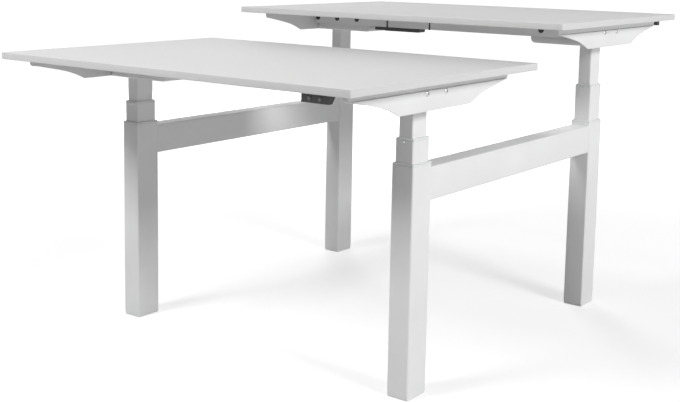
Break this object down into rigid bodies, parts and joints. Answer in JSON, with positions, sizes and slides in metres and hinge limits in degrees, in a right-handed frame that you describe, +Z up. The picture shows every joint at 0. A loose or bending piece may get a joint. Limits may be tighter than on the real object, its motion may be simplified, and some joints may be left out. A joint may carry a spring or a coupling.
{
  "type": "benching desk for two",
  "caption": "Back-to-back electric sit-stand bench: two worktops on telescopic columns joined by side beams, each raised on its own.",
  "frame": {"origin": "on the floor, at the centre of the four columns' footprint and of the two worktops", "axes": "+X along the worktops towards the end that carries the handsets, +Y from the front user to the rear user, +Z up"},
  "size_m": [1.15, 1.733, 0.88],
  "materials": {
    "white_paint": "satin white powder coat",
    "worktop_board": "light grey melamine board",
    "glide_plastic": "moulded white plastic",
    "zinc_steel": "zinc-plated steel",
    "black_plastic": "fine-grained black plastic",
    "button_plastic": "dark grey soft-touch plastic"
  },
  "bodies": {
    "base": {"column_base_front_left": "zinc_steel", "outer_tube_front_left": "white_paint", "lower_glide_front_left": "glide_plastic", "column_base_front_right": "zinc_steel", "outer_tube_front_right": "white_paint", "lower_glide_front_right": "glide_plastic", "column_base_rear_left": "zinc_steel", "outer_tube_rear_left": "white_paint", "lower_glide_rear_left": "glide_plastic", "column_base_rear_right": "zinc_steel", "outer_tube_rear_right": "white_paint", "lower_glide_rear_right": "glide_plastic", "side_beam_left": "white_paint", "side_beam_right": "white_paint"},
    "front_stage": {"mid_tube_front_left": "white_paint", "upper_glide_front_left": "glide_plastic", "hollow_screw_front_left": "zinc_steel", "mid_tube_front_right": "white_paint", "upper_glide_front_right": "glide_plastic", "hollow_screw_front_right": "zinc_steel"},
    "front_desk": {"inner_tube_front_left": "white_paint", "drive_tube_front_left": "zinc_steel", "side_bracket_front_left": "white_paint", "drive_housing_front_left": "white_paint", "inner_tube_front_right": "white_paint", "drive_tube_front_right": "zinc_steel", "side_bracket_front_right": "white_paint", "drive_housing_front_right": "white_paint", "crossbeam_left_rail_front": "white_paint", "crossbeam_inner_rail_front": "white_paint", "crossbeam_right_rail_front": "white_paint", "worktop_front": "worktop_board", "control_box_front": "black_plastic", "handset_front": "black_plastic"},
    "front_up_button": {"up_button_front": "button_plastic"},
    "front_down_button": {"down_button_front": "button_plastic"},
    "rear_stage": {"mid_tube_rear_left": "white_paint", "upper_glide_rear_left": "glide_plastic", "hollow_screw_rear_left": "zinc_steel", "mid_tube_rear_right": "white_paint", "upper_glide_rear_right": "glide_plastic", "hollow_screw_rear_right": "zinc_steel"},
    "rear_desk": {"inner_tube_rear_left": "white_paint", "drive_tube_rear_left": "zinc_steel", "side_bracket_rear_left": "white_paint", "drive_housing_rear_left": "white_paint", "inner_tube_rear_right": "white_paint", "drive_tube_rear_right": "zinc_steel", "side_bracket_rear_right": "white_paint", "drive_housing_rear_right": "white_paint", "crossbeam_left_rail_rear": "white_paint", "crossbeam_inner_rail_rear": "white_paint", "crossbeam_right_rail_rear": "white_paint", "worktop_rear": "worktop_board", "control_box_rear": "black_plastic", "handset_rear": "black_plastic"},
    "rear_up_button": {"up_button_rear": "button_plastic"},
    "rear_down_button": {"down_button_rear": "button_plastic"}
  },
  "joints": [
    {"name": "front_lift", "type": "slide", "parent": "base", "child": "front_desk", "axis": [0, 0, 1], "range_m": [-0.105, 0.545]},
    {"name": "front_stage_lift", "type": "slide", "parent": "base", "child": "front_stage", "axis": [0, 0, 1], "range_m": [-0.0525, 0.2725]},
    {"name": "front_up_press", "type": "slide", "parent": "front_desk", "child": "front_up_button", "axis": [0, 1, 0], "range_m": [0, 0.001], "stiffness_N_per_m": 400, "springref_m": -0.002},
    {"name": "front_down_press", "type": "slide", "parent": "front_desk", "child": "front_down_button", "axis": [0, 1, 0], "range_m": [0, 0.001], "stiffness_N_per_m": 400, "springref_m": -0.002},
    {"name": "rear_lift", "type": "slide", "parent": "base", "child": "rear_desk", "axis": [0, 0, 1], "range_m": [-0.2, 0.45]},
    {"name": "rear_stage_lift", "type": "slide", "parent": "base", "child": "rear_stage", "axis": [0, 0, 1], "range_m": [-0.1, 0.225]},
    {"name": "rear_up_press", "type": "slide", "parent": "rear_desk", "child": "rear_up_button", "axis": [0, -1, 0], "range_m": [0, 0.001], "stiffness_N_per_m": 400, "springref_m": -0.002},
    {"name": "rear_down_press", "type": "slide", "parent": "rear_desk", "child": "rear_down_button", "axis": [0, -1, 0], "range_m": [0, 0.001], "stiffness_N_per_m": 400, "springref_m": -0.002}
  ],
  "couplings": [
    {"joint": "front_stage_lift", "follows": "front_lift", "ratio": 0.5},
    {"joint": "rear_stage_lift", "follows": "rear_lift", "ratio": 0.5}
  ]
}
